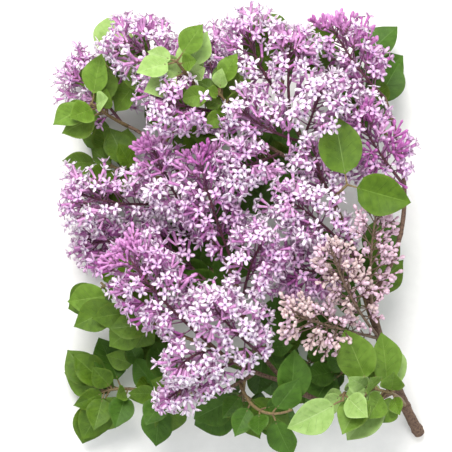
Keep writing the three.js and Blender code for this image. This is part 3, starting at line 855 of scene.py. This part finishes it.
# %% Grow the leaves that the solids have
GREENS = list(LEAVES)
LEAF_FINISHES = [*LEAVES.values(), *VEINS.values(), LEAF_BACK]
TWIG_FINISHES = {name: number for number, name in enumerate(TWIGS)}
# a step lighter is painted sun, a step darker is painted shade
OTHER_GREEN = 0.15  # the share of leaves a step lighter, and again of leaves a step darker
SOLID_STATION = 0.42  # of a leaf's length, where its solid has a corner on the midrib
SOLID_NEAR = 0.5
FLOOR_HEIGHT = -SHIFT[2]
ON_FLOOR = 0.2  # how high a leaf's lowest corners lie on the floor
VEIN_RADII, STALK_RADII, SHOOT_RADII = (0.13, 0.05), (0.75, 0.5), (1.3, 0.8)
STALK_RUN, STALK_DEPTH, STALK_SAG = 2.5, 0.25, 0.6  # on under the blade, below it, and its bow
grown_pile, small_pile, twig_pile = Pile(LEAF_FINISHES), Pile(LEAF_FINISHES), Pile(TWIGS.values())
leaf_meshes = []  # for the flowers to keep off


def add_leaf(pile, place, green, draw):
    """One leaf with its stalk and veins. What would sink into the floor lies on it."""
    length, wave = place["length"], 0.5 + 0.5 * draw()
    corners, triangles, marks = blade(length, wave)
    corners = on_leaf(place, corners[:, 0], corners[:, 1] / length, corners[:, 2])
    corners[:, 2] = np.maximum(corners[:, 2], FLOOR_HEIGHT + ON_FLOOR)
    vein, back = len(GREENS) + green, 2 * len(GREENS)
    pile.add(corners, triangles, np.array([green, back, vein])[marks])
    leaf_meshes.append((corners, triangles))
    for course in side_veins(length, wave):
        line = on_leaf(place, course[:, 0], course[:, 1] / length, course[:, 2])
        pile.add(*tube(line, np.linspace(*VEIN_RADII, len(line)), 3), vein)
    into = place["foot"] + place["ahead"] * STALK_RUN - place["tilt"] * STALK_DEPTH
    stalk = Bow(place["start"], into, -STALK_SAG * place["tilt"])
    twig_pile.add(*tapered(stalk, 1, 5, STALK_RADII, 6), TWIG_FINISHES["leaf"])


def dealt_green(shoot):
    """The shoot's own green, or now and then the next lighter one as painted sun or the next darker one
    as painted shade.
    """
    own, pick = GREENS.index(shoot["green"]), shoot["draw"]()
    step = (pick > 1 - OTHER_GREEN) - (pick < OTHER_GREEN)
    return min(max(own + step, 0), len(GREENS) - 1)


for shoot in shoots:
    tree = solid_tree(shoot["name"])
    for place in leaf_places(shoot, pair_shares(shoot["pairs"]), 1.0):
        height = -DROOP * place["length"] * SOLID_STATION**2
        if gap_to(tree, on_leaf(place, 0.0, SOLID_STATION, height)) < SOLID_NEAR:
            add_leaf(grown_pile, place, dealt_green(shoot), shoot["draw"])
    twig_pile.add(*tapered(shoot["curve"], 1, 14, SHOOT_RADII, 8), TWIG_FINISHES["leaf"])
grown_leaves = len(leaf_meshes)
print(grown_leaves, "leaves stand where the solids have them")

# %% [markdown]
# Between those pairs the real shoot has smaller leaves, in pairs turned across the others. They
# could be spread evenly, but some would cut into a neighbour. So they are tried one by one, and
# one that would touch a limb, another leaf or the floor is left out.

# %% Fill in with smaller leaves
LEAF_ROOM = 1.0  # the least gap between a smaller leaf and what is already there
SMALL_LEANS = (32, 78)  # degrees from the shoot
UNFILLED_SHOOT = "leaves_right"  # its one large pair stands alone over the flowers
# How far down from each pair, how large, and how far turned up: between pairs, and on a shoot
# that has a single pair.
SMALLER_LEAVES = [
    (0.5, 0.85, 0.7), (0.25, 0.65, -0.8), (0.75, 0.65, 0.8), (0.0, 0.6, -1.0), (0.4, 0.5, 1.1)
]
LONE_PAIR_LEAVES = [(0.8, 0.75, 0.6), (1.5, 0.65, -0.7), (2.1, 0.55, 0.3)]


def blade_points(place):
    """A few points of a blade: its midrib and both edges."""
    length = place["length"]
    points = []
    for share, side in product((0.0, 0.2, 0.4, 0.6, 0.8, 1.0), (-1, 0, 1)):
        x = side * half_width(share, length)
        points.append(on_leaf(place, x, share, blade_height(x, share, length, 0)))
    return points


def leaf_fits(place, trees):
    """Whether a leaf keeps its room from the floor, the limbs and the other leaves."""
    points = blade_points(place)
    if min(point[2] for point in points) <= FLOOR_HEIGHT + LEAF_ROOM:
        return False
    return all(gap_to(tree, point) > LEAF_ROOM for tree in trees for point in points)


for shoot in (s for s in shoots if s["name"] != UNFILLED_SHOOT):
    leaf_trees = [limb_tree, search_tree(leaf_meshes)]
    for shift, scale, lift in SMALLER_LEAVES if shoot["pairs"] > 1 else LONE_PAIR_LEAVES:
        shares = pair_shares(shoot["pairs"], shift)
        for place in leaf_places(shoot, shares, scale, lift, SMALL_LEANS):
            if leaf_fits(place, leaf_trees):
                add_leaf(small_pile, place, dealt_green(shoot), shoot["draw"])
                leaf_trees.append(search_tree(leaf_meshes[-1:]))
grown_pile.made("leaf_blades", "leaf", [s["name"] for s in shoots])
small_pile.made("small_leaf_blades", "leaf", [s["name"] for s in shoots])
print(len(leaf_meshes) - grown_leaves, "smaller leaves between them")

# %% [markdown]
# ## Florets
#
# A lilac floret is a slender tube that opens into four petals laid out as a cross. Each petal
# is shaped like a boat, with raised rims and a hooked tip, and the throat is a shallow pit
# painted dark as the shade inside the tube's opening. A subdivided model would be smoother, but
# thousands of them would be too heavy. So each petal has four rows of five corners, few of them
# and all where the light breaks.

# %% One petal
TUBE_PART, HEART_PART, PETAL_PART, RIM_PART, BACK_PART, THROAT_PART, CALYX_PART = range(7)
PETAL_OUT = np.array([0.5, 1.6, 3.1, 4.2])  # how far each row of a petal is from the throat
PETAL_HALF = np.array([0.55, 1.15, 1.25, 0.4])  # half the petal's width there
PETAL_RISE = np.array([0, 0, 0.1, 0.5])  # how far its hooked tip lifts
RIM, CUP = 0.4, 0.55  # the rims' lift as a share of half the width, and the cup's width
KEEL = 0.22  # how far the petal's back stands out under its middle
TWIST_BEND = 0.05  # how far a twisted petal bends aside, for each square of its distance out
PETAL_CORNERS = 5  # in one row: a rim, two of the cup, the other rim and the keel


def petal(quarter, opening, twist):
    """One boat-shaped petal. Opening is its angle from the tube's line."""
    rise = (PETAL_OUT - PETAL_OUT[0]) / math.tan(math.radians(opening)) + PETAL_RISE
    rows = [
        [(o, -h, r + RIM * h), (o, -CUP * h, r), (o, CUP * h, r), (o, h, r + RIM * h), (o, 0, r - KEEL)]
        for o, h, r in zip(PETAL_OUT, PETAL_HALF, rise)
    ]
    local = np.array(rows).reshape(-1, 3)
    local[:, 1] += twist * TWIST_BEND * local[:, 0] ** 2
    angle = quarter * math.pi / 2
    x = local[:, 0] * math.cos(angle) - local[:, 1] * math.sin(angle)
    y = local[:, 0] * math.sin(angle) + local[:, 1] * math.cos(angle)
    corners = np.stack([x, y, np.ones(len(x)), local[:, 2]], -1)
    skin = lattice(len(rows), PETAL_CORNERS, True)
    parts = np.full(skin.shape[:3], BACK_PART)
    parts[:, 0:3:2] = RIM_PART
    parts[:, 1] = PETAL_PART
    parts[0, 1] = HEART_PART
    foot = np.array([[0, 1, 4], [1, 2, 4], [2, 3, 4]])
    tip = foot[:, ::-1] + PETAL_CORNERS * (len(rows) - 1)
    triangles = np.concatenate([skin.reshape(-1, 3)[:, ::-1], foot, tip])
    ends = np.full(len(foot) + len(tip), BACK_PART)
    return corners, triangles, np.concatenate([parts.ravel(), ends])


print("a petal has", len(petal(0, 90, 0)[1]), "triangles")

# %% [markdown]
# All florets share one shape with a few openings, and only the tube's length and the direction
# change. So every corner keeps apart what grows with the tube and what doesn't: its place
# across, its share of the tube's length and its rise beyond it. A floret that has not opened
# yet has a swollen tip on a full tube, and a closed bud is the same on a short one.

# %% Open florets, shut florets and buds
def lathe(profile, sides, parts):
    """A closed skin from rings of (radius, share of the tube's length, rise beyond it)."""
    angle = 2 * np.pi * np.arange(sides) / sides
    rings = [
        np.stack([r * np.cos(angle), r * np.sin(angle), np.full(sides, s), np.full(sides, z)], -1)
        for r, s, z in profile
    ]
    corners = np.concatenate([*rings, rings[0].mean(0)[None], rings[-1].mean(0)[None]])
    marks = np.repeat([*parts, parts[0], parts[-1]], [2 * sides] * len(parts) + [sides, sides])
    return corners, capped(len(rings), sides), marks


def joined(parts):
    """Several small shapes as one: corners, triangles and part numbers."""
    starts = np.cumsum([0] + [len(corners) for corners, _, _ in parts])
    triangles = np.concatenate([t + s for (_, t, _), s in zip(parts, starts)])
    return np.concatenate([p[0] for p in parts]), triangles, np.concatenate([p[2] for p in parts])


FLORET_SIDES = 6
FLORET_PROFILE = [
    (0.4, 0, -0.4), (0.85, 0, 1.2), (0.7, 0, 1.3), (0.95, 0.7, 0),
    (1.3, 1, 0), (0.65, 1, -0.05), (0.3, 1, -0.8),
]
# the throat's ring and cap are painted dark as the shade in the tube's opening
FLORET_PARTS = [CALYX_PART, CALYX_PART, TUBE_PART, TUBE_PART, HEART_PART, THROAT_PART]
CLOSED_PARTS = [CALYX_PART, CALYX_PART, BACK_PART, BACK_PART, BACK_PART, BACK_PART]
OPENINGS = [(84, 0.4), (76, -0.5), (93, 0.3), (66, 0.0), (50, 0.5)]  # degrees, twist
PETAL_SPLAY = 5  # degrees that one pair of petals opens more, and the other pair less
SHUT_HEADS = [(1.35, 3.2), (1.2, 2.6), (1.0, 2.0)]  # radius and length of the swollen tip
BUD_HEADS = [(1.45, 2.9), (1.25, 2.5), (1.0, 2.0)]


def open_floret(opening, twist):
    """A tube in its calyx, with its throat and four petals."""
    petals = [petal(k, opening + PETAL_SPLAY * (-1) ** k, twist) for k in range(4)]
    return joined([lathe(FLORET_PROFILE, FLORET_SIDES, FLORET_PARTS), *petals])


def closed_floret(radius, head):
    """A tube in its calyx, with the swollen tip that it has before it opens."""
    profile = [
        (0.4, 0, -0.4), (0.75, 0, 1.1), (0.55, 0, 1.2), (0.7, 0.8, 0),
        (radius, 1, 0.3 * head), (0.9 * radius, 1, 0.7 * head), (0.3 * radius, 1, head),
    ]
    return lathe(profile, FLORET_SIDES, CLOSED_PARTS)


SHAPES = {
    "open": [open_floret(*opening) for opening in OPENINGS],
    "shut": [closed_floret(*head) for head in SHUT_HEADS],
    "bud": [closed_floret(*head) for head in BUD_HEADS],
}
print({kind: len(shapes[0][1]) for kind, shapes in SHAPES.items()}, "triangles each")

# %% [markdown]
# ## Panicles
#
# Side twigs leave the axis in crossed pairs, each leaning less towards the tip, and their
# reach follows the panicle's outline. Florets could be scattered over that outline, but they
# would float with nothing to carry them. So each one stands on its twig, in a small fan, and
# each panicle keeps to its own space: a place belongs to the axis that is nearest, counted in
# widths of its panicle.

# %% The sprays of a panicle
BARE_SHARE = 0.16  # of the axis, below the lowest spray
FINE_GAP = 3.3  # between two pairs of fine sprays
PAIR_TURN = 1.31  # quarter turns from one pair to the next
SPRAY_TURN = 0.4  # radians that chance adds to it at most
LOW_LEAN, LEAN_LOSS, LEAN_CHANCE = 72, 34, 9  # degrees from the axis
REACH_LOSS = 0.22  # how much shorter a spray may be than the outline
SPRAY_TRIES = (1, 0.8, 0.6)  # of a spray's reach, the longest that fits is grown
END_PLACE = 0.92  # of the axis, where its last spray starts
END_SHARE, END_REACH = 0.08, 8  # that spray's length: a share of the axis, and more


def depth_in(panicle, point):
    """How far a point is from a panicle's straight axis, as a share of its width."""
    start, chord = panicle["curve"].start, panicle["curve"].tip - panicle["curve"].start
    along = np.clip((point - start) @ chord / (chord @ chord), 0, 1)
    return np.linalg.norm(start + along * chord - point) / panicle["width"]


def in_own_space(panicle, point):
    own = depth_in(panicle, point)
    return all(depth_in(other, point) > own for other in panicles if other is not panicle)


def outline(share):
    """How far the sprays reach, as a share of half the panicle's width."""
    return (1 - share) ** 0.6 * (0.75 + 0.9 * share) / 0.83


def sprays(panicle):
    """Start, direction, length and share of each spray that fits."""
    curve, width, draw = panicle["curve"], panicle["width"], panicle["draw"]
    pairs = round(curve.length * (1 - BARE_SHARE) / FINE_GAP)
    for i, half in product(range(pairs), (0, 1)):
        share = i / pairs
        place = BARE_SHARE + (1 - BARE_SHARE) * share
        tangent = curve.tangent(place)
        side = across(tangent, UP)
        other = np.cross(side, tangent)
        angle = (i * PAIR_TURN + 2 * half + 0.5) * math.pi / 2 + draw.spread(SPRAY_TURN)
        lean = math.radians(LOW_LEAN - LEAN_LOSS * share + draw.spread(LEAN_CHANCE))
        reach = width / 2 * outline(share) * (1 - REACH_LOSS * draw())
        direction = turned(tangent, turned(side, other, angle), lean)
        for length in (reach / math.sin(lean) * tried for tried in SPRAY_TRIES):
            if in_own_space(panicle, curve.at(place) + direction * length):
                yield curve.at(place), direction, length, share
                break
    yield curve.at(END_PLACE), curve.tangent(1), END_SHARE * curve.length + END_REACH, 1.0


print("a spray at the middle of an axis reaches", round(outline(0.5), 2), "of half the width")

# %% [markdown]
# Real florets push each other aside until each has its own light. A physics run could do
# that, but with thousands of them it would be slow. Here a floret is left out where another
# one, a leaf or a limb already fills its place. A grid of cubes keeps that search short, as
# only the nearest cubes are looked through.

# %% What is already taken
CUBE = 7.0  # wider than any gap that is asked for


class Crowd:
    def __init__(self, cube):
        self.cube, self.cubes = cube, {}

    def near(self, point, gap):
        x, y, z = (int(v // self.cube) for v in point)
        around = product((x - 1, x, x + 1), (y - 1, y, y + 1), (z - 1, z, z + 1))
        return any(np.linalg.norm(o - point) < gap for cube in around for o in self.cubes.get(cube, ()))

    def add(self, point):
        self.cubes.setdefault(tuple(int(v // self.cube) for v in point), []).append(point)


crowd = Crowd(CUBE)
leaf_tree = search_tree(leaf_meshes)
print("leaves and limbs to keep off:", len(leaf_meshes), "and", len(limb_meshes))

# %% [markdown]
# The axis of a real panicle shows as a dark line between two banks of florets, because few
# florets cross over it on the side that meets the light. So the florets keep off the strip
# that lies above the axis.

# %% The bare strip over an axis
PARTING = 3.2  # half the strip's width
AXIS_SEEN = np.linspace(0.1, 0.92, 40)  # the part of the axis that it runs over


def over_axis(panicle, point):
    """Whether a point hides the panicle's own axis from above."""
    axis = panicle["axis"]
    gaps = np.hypot(*(axis[:, :2] - point[:2]).T)
    nearest = gaps.argmin()
    return gaps[nearest] < PARTING and point[2] > axis[nearest, 2]


for panicle in panicles:
    panicle["axis"] = panicle["curve"].at(AXIS_SEEN)
print("bare strip", 2 * PARTING, "mm wide")

# %% [markdown]
# One floret ends the spray, and the others stand round it, each on its own side of the twig
# and turned outward. They could stand evenly, but then their faces would cover each other, so
# chance moves them along the twig.

# %% The fan at the end of a spray
FLORET_TUBE, BUD_TUBE = 9.5, 3.4
TUBE_SCALES = (0.82, 0.3)  # the shortest tube, and what chance adds to it
LEAST_STALK = 0.6
FAN_LEAN, FAN_CHANCE = 40, 18  # degrees from the spray
END_CHANCE = 0.15  # radians that the last floret leans at most


def fan(start, direction, reach, count, tube_length, draw):
    """Root, heading and tube length of each floret of one spray."""
    stalk = max(LEAST_STALK, reach - tube_length)
    side = across(direction, UP)
    other = np.cross(direction, side)
    first = draw() * 2 * math.pi
    for j in range(count):
        along = stalk if j == 0 else stalk * (0.5 + 0.5 * draw())
        outward = turned(side, other, first + 2 * math.pi * j / max(1, count - 1))
        lean = draw.spread(END_CHANCE) if j == 0 else math.radians(FAN_LEAN + draw.spread(FAN_CHANCE))
        heading = turned(direction, outward, lean)
        yield start + direction * along, heading, tube_length * (TUBE_SCALES[0] + TUBE_SCALES[1] * draw())


print("open florets have tubes of about", FLORET_TUBE, "mm")

# %% Room for one floret
OPEN_GAP, CLOSED_GAP = 4.3, 2.5  # between the faces of two neighbours
FLOOR_GAP, LEAF_GAP, LIMB_GAP = 3, 2.6, 3.0  # from a face to what lies near
BEYOND_FACE, BEYOND_PETALS = 1.5, 0.6  # how far past the floret its way is clear of leaves
SPOKES = 6  # directions in which the petals' way is tried


def is_free(panicle, root, heading, length, gap):
    """Whether a floret can open here."""
    face = root + heading * length
    if face[2] < FLOOR_HEIGHT + FLOOR_GAP or over_axis(panicle, face) or crowd.near(face, gap):
        return False
    if not in_own_space(panicle, face):
        return False
    if gap_to(leaf_tree, face) < LEAF_GAP or gap_to(limb_tree, face) < LIMB_GAP:
        return False
    side = across(heading, UP)
    spokes = [turned(side, heading, 2 * math.pi * j / SPOKES) for j in range(SPOKES)]
    rays = [(face, spoke, PETAL_OUT[-1] + BEYOND_PETALS) for spoke in spokes]
    rays.append((root, heading, length + BEYOND_FACE))
    return all(leaf_tree.ray_cast(Vector(o), Vector(way), far)[0] is None for o, way, far in rays)


print("open faces keep", OPEN_GAP, "mm apart, closed ones", CLOSED_GAP)

# %% [markdown]
# A panicle opens from its foot to its tip. So a young one is still shut near its tip. A few
# florets are shut everywhere, and three panicles have more of them. Every floret could be
# dealt its own tint, but the real ones go by sprays, so a spray has one tint, and the first
# one of the panicle's row comes most often.

# %% Grow the panicles
SHUT_SHARE = {"panicle_right_edge": 0.4, "panicle_top_right": 0.25, "panicle_top_inner": 0.2}
USUAL_SHUT = 0.07
YOUNG_TIP = 0.7  # the share of a young panicle's axis above which all florets are shut
TIP_LOSS = 0.45  # how much shorter the tubes of shut florets get towards the tip
LEAST_COUNT, MORE_FROM = 4, (12, 17, 22)  # florets, and the reaches that add one each
MORE_CLOSED = 3  # closed florets are slimmer, so that many more fit
TINT_POWER, SHAPE_POWER = 1.4, 1.3  # over 1, so the first tint and shape are dealt most often
SPRAY_RADII, AXIS_RADII = [0.45, 0.38, 0.32], (1.1, 0.55)
AXIS_END = 0.97
grown = {kind: [] for kind in SHAPES}  # rows of shape, tint, root, heading, length and spin


def dealt(count, draw, power):
    """A number from 0 to count - 1, the low ones more often."""
    return min(int(draw() ** power * count), count - 1)


def kind_here(panicle, share, draw):
    """A spray's flowers: buds, or shut or open florets."""
    if panicle["stage"] == "bud":
        return "bud"
    shut = draw() < SHUT_SHARE.get(panicle["name"], USUAL_SHUT)
    return "shut" if shut or (panicle["stage"] == "young" and share > YOUNG_TIP) else "open"


def spray_size(kind, reach, share):
    """How many flowers a spray has, how long their tubes are and how far apart their faces."""
    count = LEAST_COUNT + sum(reach > step for step in MORE_FROM)
    if kind == "open":
        return count, FLORET_TUBE, OPEN_GAP
    tube_length = BUD_TUBE if kind == "bud" else FLORET_TUBE * (1 - TIP_LOSS * share**2)
    return count + MORE_CLOSED, tube_length, CLOSED_GAP


def grow_panicle(panicle):
    """Collect a panicle's florets and buds, and draw its twigs."""
    draw, tints = panicle["draw"], panicle["tints"]
    axis, stalk = ("bud", "bud") if panicle["stage"] == "bud" else ("flower", "stalk")
    for start, direction, reach, share in sprays(panicle):
        kind = kind_here(panicle, share, draw)
        count, tube_length, gap = spray_size(kind, reach, share)
        tint = tints[dealt(len(tints), draw, TINT_POWER)]
        rows = []
        for root, heading, length in fan(start, direction, reach, count, tube_length, draw):
            shape = dealt(len(SHAPES[kind]), draw, SHAPE_POWER)
            if is_free(panicle, root, heading, length, gap):
                crowd.add(root + heading * length)
                rows.append((shape, tint, root, heading, length, draw() * 2 * math.pi))
        if rows:
            grown[kind] += rows
            end = max((row[2] - start) @ direction for row in rows)
            line = [start, start + direction * end * 0.5, start + direction * end]
            twig_pile.add(*tube(line, SPRAY_RADII, 4), TWIG_FINISHES[stalk])
    twig_pile.add(*tapered(panicle["curve"], AXIS_END, 16, AXIS_RADII, 8), TWIG_FINISHES[axis])


for panicle in panicles:
    grow_panicle(panicle)
print({kind: len(rows) for kind, rows in grown.items()})

# %% [markdown]
# Every copy of a shape is turned to its heading, spun round it and stretched to its tube's
# length. Each copy could be placed by a matrix of its own. Here all copies of a shape are
# worked out in one step, as arrays, which is much quicker.

# %% Write the copies
def copies(shape, rows):
    """Corners of every copy of one shape."""
    local = shape[0]
    roots, ahead = np.array([r[2] for r in rows]), np.array([r[3] for r in rows])
    length, spin = np.array([r[4] for r in rows]), np.array([r[5] for r in rows])[:, None]
    side = np.array([across(a, UP) for a in ahead])
    u = side * np.cos(spin) + np.cross(ahead, side) * np.sin(spin)
    v = np.cross(ahead, u)
    height = local[None, :, 2] * length[:, None] + local[None, :, 3]
    return (
        roots[:, None]
        + local[None, :, 0, None] * u[:, None]
        + local[None, :, 1, None] * v[:, None]
        + height[..., None] * ahead[:, None]
    )


FLOWER_FINISHES = {
    **{"petal " + tint: finish for tint, finish in PETALS.items()},
    **{"tube " + tint: finish for tint, finish in TUBES.items()},
    **{"bud " + tint: finish for tint, finish in BUDS.items()},
    "heart": HEART, "throat": PAINTED_THROAT_SHADE, "calyx": CALYX,
}
FINISH_NUMBERS = {name: number for number, name in enumerate(FLOWER_FINISHES)}
TINTS = list(PETALS)  # from the lightest, which is dealt to no spray, to the darkest


def part_finishes(kind, tint):
    """The finish number of each part of a floret or bud of one tint."""
    if kind == "bud":
        names = 5 * ["bud " + tint] + ["throat", "calyx"]
    else:
        # rims take the next lighter tint: paler edges with a painted highlight on the raised rims
        lighter = TINTS[TINTS.index(tint) - 1]
        darker = TINTS[min(TINTS.index(tint) + 1, len(TINTS) - 1)]
        back = "tube " + tint if kind == "shut" else "petal " + darker
        names = ["tube " + tint, "heart", "petal " + tint, "petal " + lighter, back, "throat", "calyx"]
    return np.array([FINISH_NUMBERS[name] for name in names])


def write_copies(pile, kind, rows):
    """Add the copies of every shape of one kind."""
    for number, shape in enumerate(SHAPES[kind]):
        mine = [row for row in rows if row[0] == number]
        for corners, row in zip(copies(shape, mine) if mine else [], mine):
            pile.add(corners, shape[1], part_finishes(kind, row[1])[shape[2]])


print(len(FLOWER_FINISHES), "finishes for florets and buds")

# %% [markdown]
# A joined piece stays under 200,000 triangles, so the open florets are shared out among a few
# pieces in the order they grew. The shut ones go with the buds.

# %% Florets and buds as joined pieces
PIECE_LIMIT = 195000  # triangles
flower_nodes = [p["name"] for p in panicles if p["stage"] != "bud"]
per_piece = PIECE_LIMIT // len(SHAPES["open"][0][1])
for number, first in enumerate(range(0, len(grown["open"]), per_piece)):
    pile = Pile(FLOWER_FINISHES.values())
    write_copies(pile, "open", grown["open"][first : first + per_piece])
    pile.made(f"florets_{number + 1}", "blossom", flower_nodes)
bud_pile = Pile(FLOWER_FINISHES.values())
write_copies(bud_pile, "shut", grown["shut"])
write_copies(bud_pile, "bud", grown["bud"])
bud_pile.made("flower_buds", "bud", [p["name"] for p in panicles])
twig_pile.made("twigs", "bark", [p["name"] for p in panicles] + [s["name"] for s in shoots])
